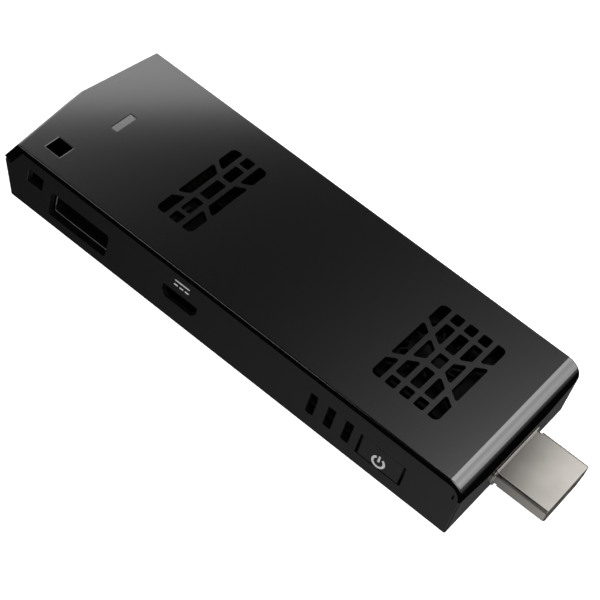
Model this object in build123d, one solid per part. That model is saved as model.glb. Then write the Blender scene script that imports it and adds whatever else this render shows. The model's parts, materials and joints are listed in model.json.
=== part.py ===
from build123d import *
import math
import os

# Millimetres, +Z up. The long way of the body is X, with the plug at +X. The origin is in the
# middle of the underside of the box that holds the body and its plug.
# Places along the body are given as the distance back from its front face.

# Body
wall = 1.2
overrun = 3.0

# Front curve of the top, and the faceted rear end
front_radius = 3.2
tail_top_height = 4.75
tail_vee = 1.95
tail_top_setback = 2.5
tail_bottom_setback = 2.8

# Plug: how far it stands out of the front face, and its outer section
plug_reach = 11.1
plug_width = 13.9
plug_height = 4.45
plug_lift = 1.75

# Join between cover and base: a thin rim, a dark groove under it, and a neck inside the walls
rim = 0.5
edge_radius = 0.3
rear_rim = 1.15
groove = 0.7
rear_groove = 0.6
neck_gap = 0.1
neck_wall = 0.9
neck_reach = 1.5
seam = 0.25
lip_corner_drop = 3.4
lip_plug_gap = 0.95
lip_corner_width = 1.3
lip_dip_margin = 2.25
shoulder_radius = 2.35
shoulder_start = 0.55

# Circuit board
board_thickness = 0.9
board_plug_gap = 0.3
board_tail_gap = 0.2
tail_room = 6.8
board_gap = 0.5
board_side_gap = 0.4
solder = 0.02

# Vent fields in the top
vent_row = 2.05
vent_pitch = 3.02
vent_field_width = 22.0
vent_corner = 0.38
vent_field_corner = 1.1
vent_end_rib = 0.85
vent_end_slot = 2.4
vent_rib = 1.25
vent_rib_outer = 5.83
vent_rib_slope = 0.76
vent_inner_rib = 1.15
front_vent_shift = 2.6
front_vent_rows = 5
front_vent_inner = 2.16
rear_vent_shift = 3.3
rear_vent_rows = 3
rear_vent_inner = 3.13

# Light window in the top
window_wifi_gap = 0.65
window_length = 1.45
window_width = 5.35
window_gap = 0.08
window_recess = 0.12
window_corner = 0.2
window_flange = 0.6
window_flange_thickness = 0.6
led_length = 1.6
led_width = 0.8
led_height = 0.6
led_gap = 0.3

# Lanyard hole through the top and out of the near side
lanyard_usb_gap = 1.65
lanyard_length = 3.4
lanyard_top_width = 3.6
lanyard_bar = 3.5
lanyard_depth = 6.4
lanyard_side_height = 2.9
lanyard_wall = 0.8
lanyard_edge = 0.15

# Exhaust slots in the near side
exhaust_arm_share = 0.417
exhaust_pitch = 3.82
exhaust_count = 3
exhaust_width = 1.65
exhaust_sill = 2.0
exhaust_height = 5.0
exhaust_corner = 0.3

# Pry notch beside the front corner
notch_back = 1.5
notch_width = 0.35
notch_drop = 2.6
notch_height = 1.4
notch_depth = 0.4

# Power button and its switch
button_arm_gap = 1.105
button_width = 8.65
button_height = 4.75
plunger_lift = 0.775
button_side_gap = 0.5
button_top_gap = 0.14
button_edge = 0.25
button_flange = 0.6
button_flange_thickness = 0.8
button_stem_width = 2.6
button_stem_height = 1.2
button_rest_gap = 0.05
button_travel = 0.3
switch_width = 6.0
switch_height = 2.0
switch_depth = 2.6
plunger_width = 2.2
plunger_height = 0.9
plunger_reach = 1.0
plunger_gap = 0.04
plunger_bore_gap = 0.05

# Full-size socket in the near side
usb_chip_gap = 0.6
usb_width = 13.1
usb_height = 5.72
usb_drop = 1.175
usb_depth = 13.8
usb_shell = 0.3
usb_corner = 0.6
usb_lip = 0.12
usb_sill = 0.05
usb_brow = 0.27
usb_side_gap = 0.2
usb_tongue_thickness = 1.84
usb_tongue_margin = 1.0
usb_tongue_setback = 1.0
usb_tongue_drop = 0.5
usb_block_depth = 3.2
usb_wing = 1.2
usb_inner_pitch = 2.0
usb_outer_pitch = 2.5
usb_contact_width = 1.0
usb_contact_thickness = 0.2

# Micro socket in the near side
micro_spreader_gap = 0.05
micro_width = 7.5
micro_height = 2.45
micro_taper = 0.95
micro_side_height = 1.3
micro_depth = 5.4
micro_shell = 0.25
micro_corner = 0.3
micro_lip = 0.08
micro_gap = 0.15
micro_recess = 0.3
micro_tongue_width = 3.7
micro_tongue_thickness = 0.6
micro_tongue_setback = 0.6
micro_block_depth = 1.6
micro_contact_count = 5
micro_contact_pitch = 0.65
micro_contact_width = 0.3
micro_contact_thickness = 0.08

# Memory card socket in the far side
card_spreader_gap = 2.2
card_width = 13.6
card_depth = 14.2
card_height = 1.9
card_shell = 0.2
card_rail = 1.1
card_slot_height = 1.0
card_slot_wall_height = 1.5
card_slot_margin = 0.4
card_contact_count = 8
card_contact_pitch = 1.1
card_contact_width = 0.6
card_contact_length = 2.4
card_contact_thickness = 0.12
card_base_thickness = 0.5

# Plug shell, collar, insulator and contacts
plug_side_height = 2.5
plug_taper = 1.75
plug_corner = 0.55
plug_shell = 0.35
plug_inner_gap = 0.01
plug_tail = 4.4
plug_lip = 0.12
neck_start = 0.5
neck_end = 1.4
neck_depth = 0.22
collar_thickness = 0.48
collar_border = 0.42
collar_gap = 0.2
collar_front = 0.5
collar_edge = 0.16
slot_width = 11.2
slot_depth = 8.6
contact_pitch = 1.0
contact_width = 0.35
contact_thickness = 0.15
contact_setback = 1.0
contact_foot = 1.6
upper_contact_count = 10
lower_contact_count = 9

# Blower fan
fan_front_gap = 1.2
fan_size = 22.0
fan_roof_gap = 1.075
fan_lift = 1.0
fan_height = 4.8
fan_floor = 0.5
fan_corner = 2.0
fan_cover_thickness = 0.4
fan_intake_lip = 2.0
fan_centre_shift = 0.2
fan_centre_offset = 0.4
fan_throat = 0.4
fan_scroll_gap = 0.9
fan_side_wall = 1.9
rotor_disc = 0.35
rotor_lift = 0.45
rotor_gap = 0.45
hub_wall = 0.5
blade_count = 19
blade_thickness = 0.45
blade_lean = 28.0
blade_root = 0.25
magnet_thickness = 0.7
shaft_radius = 0.5
shaft_gap = 0.03
shaft_end_gap = 0.05
bearing_wall = 0.6
bearing_gap = 0.01
stator_gap = 0.35
stator_lift = 0.85
stator_ledge = 0.2
boss_wall = 0.35
stator_height = 1.3
stator_core_wall = 0.25
stator_pole_count = 4
stator_pole_width = 0.7
stator_tip_width = 1.7
coil_thickness = 0.35
coil_length = 0.35
stator_tip_depth = 0.7
coil_gap = 0.02
ear_radius = 1.8
ear_stand = 1.5
ear_wall_gap = 0.7
ear_thickness = 0.8

# Screws and the posts that they go into
screw_radius = 0.65
screw_gap = 0.05
screw_head_radius = 1.4
screw_head_height = 0.7
screw_slot_width = 0.3
screw_slot_depth = 0.35
cross_share = 0.62
post_radius = 1.7
post_root = 0.4
board_screw_inset = 2.2
card_screw_gap = 1.4
near_screw_room = 4.95
tail_screw_inset = 3.0

# Processor, pad, spreader and fins
chip_size = 17.0
chip_height = 1.1
die_size = 9.0
die_height = 0.3
pad_size = 12.0
pad_thickness = 0.5
spreader_fan_gap = 1.0
spreader_length = 22.6
spreader_half = 11.0
spreader_thickness = 0.8
spreader_arm_start = 0.1
spreader_arm_width = 8.2
arm_fan_gap = 0.5
arm_wall_gap = 0.5
spreader_arm_root = 8.0
spreader_ear = 1.9
fin_count = 9
fin_thickness = 0.35
fin_neck_gap = 0.275
fin_board_gap = 0.6
fin_margin = 0.5
standoff_radius = 1.5
standoff_inset = 3.0
standoff_reach = 2.2

# Other parts on the board
memory_length = 9.0
memory_width = 11.5
memory_height = 0.95
memory_gap = 2.0
storage_inductor_gap = 0.85
storage_side = -1.5
storage_length = 11.5
storage_width = 13.0
storage_height = 1.0
chip_gap = 0.65
chip_wing_gap = 0.5
power_chip_length = 3.2
power_chip_width = 5.0
power_chip_height = 0.85
crystal_length = 2.5
crystal_width = 3.2
crystal_height = 0.8
inductor_spreader_gap = 0.8
inductor_side = -5.4
inductor_pitch = 3.8
inductor_count = 3
inductor_size = 2.8
inductor_height = 1.2
inductor_corner = 0.4
capacitor_coax_gap = 0.6
capacitor_pitch = 1.5
capacitor_count = 6
capacitor_length = 1.6
capacitor_width = 0.8
capacitor_height = 0.8
driver_contact_gap = 2.0
driver_pitch = 6.4
driver_count = 2
driver_length = 1.2
driver_width = 3.0
driver_height = 0.6
wifi_capacitor_gap = 0.2
wifi_usb_gap = 1.2
wifi_length = 12.0
wifi_width = 11.0
wifi_board_thickness = 0.6
wifi_can_margin = 0.8
wifi_can_height = 1.2
wifi_can_wall = 0.2
antenna_inset = 2.6
antenna_shift = 0.6
antenna_length = 12.0
antenna_width = 6.0
antenna_thickness = 0.3
antenna_gap = 0.02
coax_radius = 0.5
coax_plug_radius = 1.3
coax_plug_height = 1.1
coax_screw_gap = 0.1
coax_plug_inset = 4.0
coax_bend = 3.2
coax_straight = 2.0
coax_end = 3.2

# Fan lead and its connector
lead_radius = 0.45
lead_inset = 4.4
lead_straight = 0.3
lead_bend = 3.0
lead_run = 2.8
lead_plug_length = 2.4
lead_plug_width = 3.6

# Snaps between the cover's neck and the base's walls
snap_place_shares = [0.08, 0.37, 0.70]
snap_length = 3.0
snap_height = 0.7
snap_reach = 0.3
snap_drop = 1.3
snap_clear = 0.15

# Heights worked out from the sizes above
plug_top = plug_lift + plug_height
plug_middle = plug_lift + plug_height / 2
board_low = plug_middle - board_thickness / 2
board_top = plug_middle + board_thickness / 2
body_height = board_top + fan_lift + fan_height + fan_roof_gap + wall
ridge_height = body_height - tail_top_height
groove_low = body_height - rim - groove
cover_under = body_height - wall
tongue_low = groove_low - neck_reach
lip_corner_height = body_height - lip_corner_drop
lip_plug_height = plug_top + lip_plug_gap
lanyard_low = body_height - lanyard_depth
lanyard_high = lanyard_low + lanyard_side_height
exhaust_low = wall + exhaust_sill
exhaust_high = exhaust_low + exhaust_height
notch_low = groove_low - notch_drop
notch_high = notch_low + notch_height
snap_low = groove_low - snap_drop
button_lift = board_top + plunger_lift
usb_low = board_low - usb_drop
usb_opening_low = usb_low - usb_sill
usb_opening_high = usb_low + usb_height - usb_brow
spreader_low = board_top + chip_height + die_height + pad_thickness
spreader_high = spreader_low + spreader_thickness
fin_high = tongue_low - fin_neck_gap
fin_low = board_top + fin_board_gap

# Fan, from its shaft outwards
bearing_radius = shaft_radius + shaft_gap + bearing_wall
stator_bore = bearing_radius + boss_wall + 2 * bearing_gap
stator_seat = stator_bore + stator_ledge
stator_core_radius = stator_bore + stator_core_wall
coil_start = stator_core_radius + coil_gap
coil_end = coil_start + coil_length
stator_tip = coil_end + coil_gap + stator_tip_depth
magnet_radius = stator_tip + stator_gap + magnet_thickness
hub_radius = magnet_radius + bearing_gap + hub_wall
rotor_radius = fan_size / 2 - fan_side_wall - fan_scroll_gap
fan_intake_radius = rotor_radius - fan_intake_lip

# Places across the body: the near side is the one with the sockets
body_width = 2 * wall + arm_wall_gap + spreader_arm_width + arm_fan_gap + fan_size
body_width += ear_stand + ear_radius + ear_wall_gap
half_width = body_width / 2
neck_side = half_width - wall - neck_gap
board_side = half_width - wall - board_side_gap
lip_dip_start = half_width - lip_corner_width
lip_dip_end = plug_width / 2 + lip_dip_margin
spreader_arm_near = wall + arm_wall_gap - half_width
spreader_arm_far = spreader_arm_near + spreader_arm_width
fan_near_side = spreader_arm_far + arm_fan_gap
fan_centre_side = fan_near_side + fan_size / 2 + fan_centre_offset
lead_side = fan_near_side + lead_inset
board_screw_side = board_side - board_screw_inset
standoff_side = spreader_half + standoff_reach
usb_front = wall - half_width + neck_gap
usb_rear = usb_front + usb_depth
card_front = half_width - wall - neck_gap
power_chip_side = usb_rear - usb_depth / 2 + usb_wing + chip_wing_gap + power_chip_width / 2
crystal_side = power_chip_side + power_chip_width / 2 + chip_gap + crystal_width / 2
wifi_side = usb_rear + board_gap + wifi_usb_gap + wifi_width / 2
coax_plug_side = board_side - coax_plug_inset
antenna_side = coax_plug_side - antenna_shift
capacitor_side = coax_plug_side - coax_plug_radius - capacitor_coax_gap - capacitor_width / 2

# Places along the body, from the front face backwards
board_front = plug_tail + board_plug_gap
driver_back = plug_tail + contact_foot + driver_contact_gap + driver_length / 2
fan_front = driver_back + driver_length / 2 + fan_front_gap
fan_rear = fan_front + fan_size
fan_centre_back = fan_front + fan_size / 2 - fan_centre_shift
front_vent_back = fan_centre_back - front_vent_shift
spreader_front = fan_rear + spreader_fan_gap
spreader_rear = spreader_front + spreader_length
spreader_arm_front = fan_centre_back + spreader_arm_start
exhaust_back = spreader_arm_front + exhaust_arm_share * (spreader_front - spreader_arm_front)
button_back = spreader_arm_front - button_arm_gap - button_flange - button_width / 2
chip_back = spreader_front + spreader_length / 2
micro_back = spreader_rear + micro_spreader_gap + micro_width / 2
card_back = spreader_rear + card_spreader_gap + card_width / 2
card_rear = card_back + card_width / 2
inductor_back = spreader_rear + inductor_spreader_gap + inductor_size / 2
storage_back = inductor_back + inductor_size / 2 + storage_inductor_gap + storage_length / 2
storage_rear = storage_back + storage_length / 2
rear_vent_back = storage_back + rear_vent_shift
power_chip_back = storage_rear + chip_gap + power_chip_length / 2
crystal_back = storage_rear + chip_gap + crystal_length / 2
power_chip_rear = storage_rear + chip_gap + power_chip_length
capacitor_back = power_chip_rear + capacitor_length / 2
usb_back = power_chip_rear + usb_chip_gap + board_gap / 2 + usb_width / 2
near_screw_back = usb_back - usb_width / 2 - usb_wing - near_screw_room
far_screw_back = card_rear + card_screw_gap + screw_head_radius
coax_plug_back = far_screw_back + screw_head_radius + coax_screw_gap + coax_plug_radius
wifi_back = capacitor_back + capacitor_length / 2 + wifi_capacitor_gap + wifi_length / 2
window_back = wifi_back + wifi_length / 2 + window_wifi_gap + led_width / 2
lanyard_back = usb_back + usb_width / 2 + lanyard_usb_gap + lanyard_wall + lanyard_length / 2
board_rear = lanyard_back + lanyard_length / 2 + lanyard_wall + board_tail_gap
tail_screw_back = board_rear - tail_screw_inset
antenna_back = board_rear - antenna_inset - antenna_length / 2
body_length = board_rear + tail_room
front_x = (body_length + plug_reach) / 2 - plug_reach
lip_back = wall + seam
tail_slope = tail_top_setback / (body_height - ridge_height)
tail_lean = math.hypot(1, tail_slope)


def at_x(back):
    """X of a place this far behind the front face."""
    return front_x - back


def block(back_0, back_1, side_0, side_1, low, high):
    """Box between two distances back, two sideways places and two heights."""
    length = back_1 - back_0
    width = side_1 - side_0
    height = high - low
    middle = (at_x((back_0 + back_1) / 2), (side_0 + side_1) / 2, (low + high) / 2)
    return Pos(*middle) * Box(length, width, height)


def tower(back, side, radius, low, high):
    """Upright cylinder."""
    return Pos(at_x(back), side, (low + high) / 2) * Cylinder(radius, high - low)


def side_prism(edges, side_0, side_1):
    """Prism across the body from edges drawn in the (x, z) plane."""
    face = make_face(Plane.XZ * edges)
    return Pos(0, side_1, 0) * extrude(face, side_1 - side_0, dir=(0, -1, 0))


def side_box(back_middle, width, low, high, side_0, side_1, corner):
    """Box across the body with rounded long edges."""
    solid = block(back_middle - width / 2, back_middle + width / 2, side_0, side_1, low, high)
    return fillet(solid.edges().filter_by(Axis.Y), corner)


def vee_outline(front, half, shift):
    """Plan outline from a flat front to the V of the ridge, drawn forward by shift."""
    corner = body_length - tail_vee * half / half_width - shift
    apex = body_length - shift
    return [(front, -half), (corner, -half), (apex, 0), (corner, half), (front, half)]


def leaned_prism(outline, low, high, setback):
    """Prism from low to high whose top stands forward of its bottom by setback."""
    points = [(at_x(back), side) for back, side in outline]
    face = make_face(Polyline(*points, close=True))
    lean = Vector(setback, 0, high - low)
    return Pos(0, 0, low) * extrude(face, lean.length, dir=lean.normalized())


def form(side, top, front, rear, low_rear):
    """Outer form of the body, drawn in by these amounts on its faces."""
    half = half_width - side
    high = body_height - top
    middle = body_length / 2
    upper_rise = high - ridge_height
    upper_setback = upper_rise * tail_slope
    upper = leaned_prism(vee_outline(middle, half, rear * tail_lean), ridge_height, high, upper_setback)
    lower_outline = vee_outline(middle, half, low_rear)
    lower = leaned_prism(lower_outline, ridge_height, 0, tail_bottom_setback)
    nose_points = [
        (at_x(front), 0),
        (at_x(front), body_height - front_radius),
        (at_x(front_radius), high),
        (at_x(middle + tail_top_setback + tail_bottom_setback), high),
        (at_x(middle + tail_top_setback + tail_bottom_setback), 0),
    ]
    curve_middle = (at_x(front_radius), body_height - front_radius)
    curve = CenterArc(curve_middle, front_radius - front, 0, 90)
    nose_lines = Polyline(nose_points[2], nose_points[3], nose_points[4], nose_points[0], nose_points[1])
    nose = side_prism(nose_lines + curve, -half, half)
    return nose + upper + lower


def outer_form():
    """Outer form of the body with all its edges rounded."""
    body = form(0, 0, 0, 0, 0)
    return fillet(body.edges(), edge_radius)


def lip_heights(drop):
    """Outline of what lies below the front lip, in (side, height) points, lowered by drop."""
    corner = lip_corner_height - drop
    dip = lip_plug_height - drop
    reach = half_width + overrun
    return [
        (-reach, -overrun),
        (-reach, corner),
        (-lip_dip_start, corner),
        (-lip_dip_end, dip),
        (lip_dip_end, dip),
        (lip_dip_start, corner),
        (reach, corner),
        (reach, -overrun),
    ]


def cross_prism(points, back_0, back_1):
    """Prism along the body from an outline of (side, height) points."""
    face = make_face(Plane.YZ * Polyline(*points, close=True))
    return Pos(at_x(back_1), 0, 0) * extrude(face, back_1 - back_0, dir=(1, 0, 0))


def below_lip(drop, back_1):
    """Everything under the front lip, from ahead of the body to back_1."""
    return cross_prism(lip_heights(drop), -overrun, back_1)


def base_zone():
    """What belongs to the base in side view: under the groove, the shoulder and the tail groove."""
    tail_shift = (rear_rim + rear_groove) * tail_lean
    side_ridge = body_length - tail_vee
    tail_ledge = ridge_height - rear_groove
    slant_top = side_ridge - tail_shift - (groove_low - ridge_height) * tail_slope
    slant_foot = side_ridge - tail_shift + (ridge_height - tail_ledge) * tail_slope
    shoulder_height = groove_low - shoulder_radius
    shoulder_back = shoulder_start + shoulder_radius
    shoulder = CenterArc((at_x(shoulder_back), shoulder_height), shoulder_radius, 0, 90)
    lines = Polyline(
        (at_x(shoulder_back), groove_low),
        (at_x(slant_top), groove_low),
        (at_x(slant_foot), tail_ledge),
        (at_x(body_length + overrun), tail_ledge),
        (at_x(body_length + overrun), -overrun),
        (at_x(-overrun), -overrun),
        (at_x(-overrun), shoulder_height),
        (at_x(shoulder_start), shoulder_height),
    )
    return side_prism(lines + shoulder, -half_width - overrun, half_width + overrun)


def vent_slots(middle_back, rows, inner_rib):
    """Slots of one vent field: rows cut up by end ribs and an X of slanted ribs."""
    reach = (rows - 1) / 2 * vent_pitch + vent_row / 2
    field = RectangleRounded(2 * reach, vent_field_width, vent_field_corner)
    ribs = Sketch()
    rib_start = vent_pitch / 2
    for lengthwise in (-1, 1):
        for sideways in (-1, 1):
            outer = reach + overrun
            outer_side = vent_rib_outer + vent_rib_slope * overrun
            start_side = vent_rib_outer - vent_rib_slope * (reach - rib_start)
            points = [
                (lengthwise * rib_start, sideways * (start_side - vent_rib / 2)),
                (lengthwise * rib_start, sideways * (start_side + vent_rib / 2)),
                (lengthwise * outer, sideways * (outer_side + vent_rib / 2)),
                (lengthwise * outer, sideways * (outer_side - vent_rib / 2)),
            ]
            ribs += make_face(Polyline(*points, close=True))
    end_rib_side = vent_field_width / 2 - vent_end_slot - vent_end_rib / 2
    inner_rows = 2 * (reach - vent_row) - (vent_pitch - vent_row)
    for sideways in (-1, 1):
        ribs += Pos(0, sideways * end_rib_side) * Rectangle(inner_rows, vent_end_rib)
        ribs += Pos(0, sideways * inner_rib) * Rectangle(2 * rib_start, vent_inner_rib)
    solids = []
    for row in range(rows):
        place = (row - (rows - 1) / 2) * vent_pitch
        band = Pos(place, 0) * Rectangle(vent_row, vent_field_width)
        for face in ((field & band) - ribs).faces():
            slot = extrude(face, wall + 2 * overrun, dir=(0, 0, 1))
            slot = fillet(slot.edges().filter_by(Axis.Z), vent_corner)
            solids.append(Pos(at_x(middle_back), 0, cover_under - overrun) * slot)
    return solids


def plug_outline(border):
    """Outer section of the plug, (side, height) points, grown by border on every face."""
    half = plug_width / 2 + border
    foot = half - plug_taper
    shoulder = plug_top - plug_side_height
    return [
        (-half, plug_top + border),
        (half, plug_top + border),
        (half, shoulder),
        (foot, plug_lift - border),
        (-foot, plug_lift - border),
        (-half, shoulder),
    ]


def plug_prism(border, back_0, back_1, corner):
    """Length of the plug's section with rounded long edges."""
    solid = cross_prism(plug_outline(border), back_0, back_1)
    return fillet(solid.edges().filter_by(Axis.X), corner)


def micro_prism(border, side_0, side_1, corner):
    """Length of the micro socket's section, which narrows towards the board."""
    half = micro_width / 2 + border
    foot = half - micro_taper
    low = board_top - border
    high = board_top + micro_height + border
    shoulder = board_top + micro_height - micro_side_height
    middle = at_x(micro_back)
    lines = Polyline(
        (middle - half, high),
        (middle + half, high),
        (middle + half, shoulder),
        (middle + foot, low),
        (middle - foot, low),
        (middle - half, shoulder),
        close=True,
    )
    solid = side_prism(lines, side_0, side_1)
    return fillet(solid.edges().filter_by(Axis.Y), corner)


def snap_nubs(reach, length, height, middle):
    """Snap blocks on both long sides, from the neck outwards to reach."""
    blocks = []
    for share in snap_place_shares:
        for sideways in (-1, 1):
            sides = sorted((sideways * (neck_side - neck_wall / 2), sideways * (neck_side + reach)))
            back_0 = share * body_length - length / 2
            back_1 = share * body_length + length / 2
            blocks.append(block(back_0, back_1, *sides, middle - height / 2, middle + height / 2))
    return blocks


def slant_back(inset, height):
    """Distance back of the line that runs inside the upper rear facet at the side walls."""
    side_ridge = body_length - tail_vee
    return side_ridge - inset * tail_lean - (height - ridge_height) * tail_slope


def side_cut(points):
    """Prism right across the body from an outline of (back, height) points."""
    outline = [(at_x(back), height) for back, height in points]
    return side_prism(Polyline(*outline, close=True), -half_width - overrun, half_width + overrun)


def cover_form():
    """The cover before its holes: thin rim, plate, neck and front lip."""
    rim_plate = form(0, 0, 0, 0, 0) - form(-overrun, rim, rim, rear_rim, 0)
    neck_inset = half_width - neck_side
    neck = form(neck_inset, 0, 0, 0, 0) - form(neck_inset + neck_wall, wall, wall, wall, wall)
    inner = rear_rim + rear_groove + neck_reach
    tongue_cut = side_cut([
        (lip_back, -overrun),
        (lip_back, tongue_low),
        (slant_back(inner, tongue_low), tongue_low),
        (slant_back(inner, ridge_height), ridge_height),
        (slant_back(inner, ridge_height), -overrun),
    ])
    tail_start = slant_back(inner, ridge_height)
    tail_end = body_length + overrun
    tail_cut = block(tail_start, tail_end, -body_width, body_width, -overrun, ridge_height)
    return rim_plate + neck - below_lip(0, lip_back) - tongue_cut - tail_cut


def lanyard_passage():
    """The way of the lanyard: down through the top, then out of the near side."""
    back_0 = lanyard_back - lanyard_length / 2
    back_1 = lanyard_back + lanyard_length / 2
    near = lanyard_bar - half_width
    far = near + lanyard_top_width
    down = block(back_0, back_1, near, far, lanyard_low, body_height + overrun)
    out = block(back_0, back_1, -half_width - overrun, far, lanyard_low, lanyard_high)
    return down + out


def mouth_edges(solid, side_0, side_1, low, high):
    """Edges round the lanyard passage where it opens within these sides and heights."""
    front = at_x(lanyard_back - lanyard_length / 2) + lanyard_edge
    rear = at_x(lanyard_back + lanyard_length / 2) - lanyard_edge
    found = solid.edges().filter_by_position(Axis.X, rear, front)
    found = found.filter_by_position(Axis.Y, side_0 - lanyard_edge, side_1 + lanyard_edge)
    return found.filter_by_position(Axis.Z, low - lanyard_edge, high + lanyard_edge)


def lanyard_pocket():
    """Block under the cover that the lanyard passage is cut through."""
    back_0 = lanyard_back - lanyard_length / 2 - lanyard_wall
    back_1 = lanyard_back + lanyard_length / 2 + lanyard_wall
    far = lanyard_bar - half_width + lanyard_top_width + lanyard_wall
    return block(back_0, back_1, -neck_side, far, lanyard_low - lanyard_wall, body_height - wall / 2)


def window_prism(gap, low, high):
    """Length of the light window's section, grown by gap."""
    half_length = window_length / 2 + gap
    half_across = window_width / 2 + gap
    back_0 = window_back - half_length
    back_1 = window_back + half_length
    solid = block(back_0, back_1, -half_across, half_across, low, high)
    return fillet(solid.edges().filter_by(Axis.Z), window_corner)


def top_cover():
    cover = (cover_form() + lanyard_pocket()) & outer_form()
    cover = cover + snap_nubs(snap_reach, snap_length, snap_height, snap_low + snap_height / 2)
    cover = cover - lanyard_passage()
    near = lanyard_bar - half_width
    mouth = mouth_edges(cover, near, near + lanyard_top_width, body_height, body_height)
    cover = fillet(mouth, lanyard_edge)
    cover = cover - window_prism(window_gap, cover_under - overrun, body_height + overrun)
    cover = cover - vent_slots(front_vent_back, front_vent_rows, front_vent_inner)
    return cover - vent_slots(rear_vent_back, rear_vent_rows, rear_vent_inner)


def light_pipe():
    """Window in the top, its flange under the cover, and its stem down to the light."""
    flange_high = cover_under - solder
    led_top = board_top + led_height
    stem = window_prism(0, led_top + led_gap, body_height - window_recess)
    flange = window_prism(window_flange, flange_high - window_flange_thickness, flange_high)
    return stem + flange


def power_button():
    """Cap in the wall, a flange behind it that keeps it in, and a stem towards the switch."""
    outer = -half_width
    seat = wall - half_width + button_rest_gap
    behind = seat + button_flange_thickness
    half = button_height / 2
    cap = side_box(button_back, button_width, button_lift - half, button_lift + half, outer, behind,
                   button_edge)
    cap = chamfer(cap.faces().sort_by(Axis.Y)[0].edges(), button_edge / 2)
    flange_half = half + button_flange
    flange_width = button_width + 2 * button_flange
    flange = side_box(button_back, flange_width, button_lift - flange_half, button_lift + flange_half,
                      seat, behind, button_edge)
    stem_half = button_stem_height / 2
    stem_end = switch_front() - plunger_reach - plunger_gap
    stem = side_box(button_back, button_stem_width, button_lift - stem_half, button_lift + stem_half,
                    behind, stem_end, button_edge)
    return cap + flange + stem


def switch_front():
    """Sideways place of the tact switch's front face."""
    return -board_notch_side() + board_side_gap


def board_notch_side():
    """How far out the board's edge stands behind the power button."""
    return board_side - button_flange_thickness - button_travel - board_side_gap


def switch_body():
    front = switch_front()
    back_0 = button_back - switch_width / 2
    back_1 = button_back + switch_width / 2
    body = block(back_0, back_1, front, front + switch_depth, board_top, board_top + switch_height)
    bore_half = plunger_height / 2 + plunger_bore_gap
    bore_end = front + plunger_reach + 2 * button_travel
    bore = block(button_back - plunger_width / 2 - plunger_bore_gap,
                 button_back + plunger_width / 2 + plunger_bore_gap,
                 front - overrun, bore_end, button_lift - bore_half, button_lift + bore_half)
    return body - bore


def switch_plunger():
    front = switch_front() - plunger_reach
    half = plunger_height / 2
    return block(button_back - plunger_width / 2, button_back + plunger_width / 2,
                 front, front + 2 * plunger_reach, button_lift - half, button_lift + half)


def usb_side(inset):
    """Outline of the full-size socket, drawn in by inset, as (back_0, back_1, low, high)."""
    half = usb_width / 2 - inset
    return usb_back - half, usb_back + half, usb_low + inset, usb_low + usb_height - inset


def usb_shell_part():
    front = usb_front
    back_0, back_1, low, high = usb_side(0)
    outer = block(back_0, back_1, front, usb_rear, low, high)
    outer = fillet(outer.edges().filter_by(Axis.Y), usb_corner)
    back_0, back_1, low, high = usb_side(usb_shell)
    inner = block(back_0, back_1, front - overrun, usb_rear - usb_shell, low, high)
    inner = fillet(inner.edges().filter_by(Axis.Y), usb_corner - usb_shell)
    reach = usb_width / 2 + usb_wing
    wing_0 = usb_rear - usb_depth / 2 - usb_wing
    wing_1 = usb_rear - usb_depth / 2 + usb_wing
    wings = block(usb_back - reach, usb_back + reach, wing_0, wing_1, board_top, board_top + usb_shell)
    shell = outer + wings - inner
    return fillet(shell.faces().sort_by(Axis.Y)[0].edges(), usb_lip)


def usb_tongue_part():
    """Plastic block at the socket's back and the tongue that the plug slides over."""
    inset = usb_shell + neck_gap
    back_0, back_1, low, high = usb_side(inset)
    rear = usb_rear - usb_shell
    base = block(back_0, back_1, rear - usb_block_depth, rear, low, high)
    top = high - usb_tongue_drop
    half = usb_width / 2 - usb_tongue_margin
    tongue = block(usb_back - half, usb_back + half, usb_front + usb_tongue_setback, rear,
                   top - usb_tongue_thickness, top)
    return base + tongue


def usb_contacts_part():
    inset = usb_shell + neck_gap
    under = usb_low + usb_height - inset - usb_tongue_drop - usb_tongue_thickness
    rear = usb_rear - usb_shell - usb_block_depth
    strips = []
    outer = usb_inner_pitch / 2 + usb_outer_pitch
    for place in (-outer, -usb_inner_pitch / 2, usb_inner_pitch / 2, outer):
        back_0 = usb_back + place - usb_contact_width / 2
        back_1 = usb_back + place + usb_contact_width / 2
        strips.append(block(back_0, back_1, usb_front + 2 * usb_tongue_setback, rear,
                            under - usb_contact_thickness, under))
    return Compound(strips)


def micro_front():
    return micro_recess - half_width


def micro_shell_part():
    front = micro_front()
    outer = micro_prism(0, front, front + micro_depth, micro_corner)
    inner = micro_prism(-micro_shell, front - overrun, front + micro_depth - micro_shell,
                        micro_corner - micro_shell / 2)
    shell = outer - inner
    return fillet(shell.faces().sort_by(Axis.Y)[0].edges(), micro_lip)


def micro_tongue_part():
    rear = micro_front() + micro_depth - micro_shell
    base = micro_prism(-micro_shell - neck_gap, rear - micro_block_depth, rear, micro_corner / 2)
    middle = board_top + micro_height - micro_side_height / 2
    half = micro_tongue_width / 2
    tongue = block(micro_back - half, micro_back + half, micro_front() + micro_tongue_setback, rear,
                   middle - micro_tongue_thickness / 2, middle + micro_tongue_thickness / 2)
    return base + tongue


def micro_contacts_part():
    under = board_top + micro_height - micro_side_height / 2 - micro_tongue_thickness / 2
    rear = micro_front() + micro_depth - micro_shell - micro_block_depth
    strips = []
    for number in range(micro_contact_count):
        place = (number - (micro_contact_count - 1) / 2) * micro_contact_pitch
        back_0 = micro_back + place - micro_contact_width / 2
        back_1 = micro_back + place + micro_contact_width / 2
        strips.append(block(back_0, back_1, micro_front() + 2 * micro_tongue_setback, rear,
                            under - micro_contact_thickness, under))
    return Compound(strips)


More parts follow.
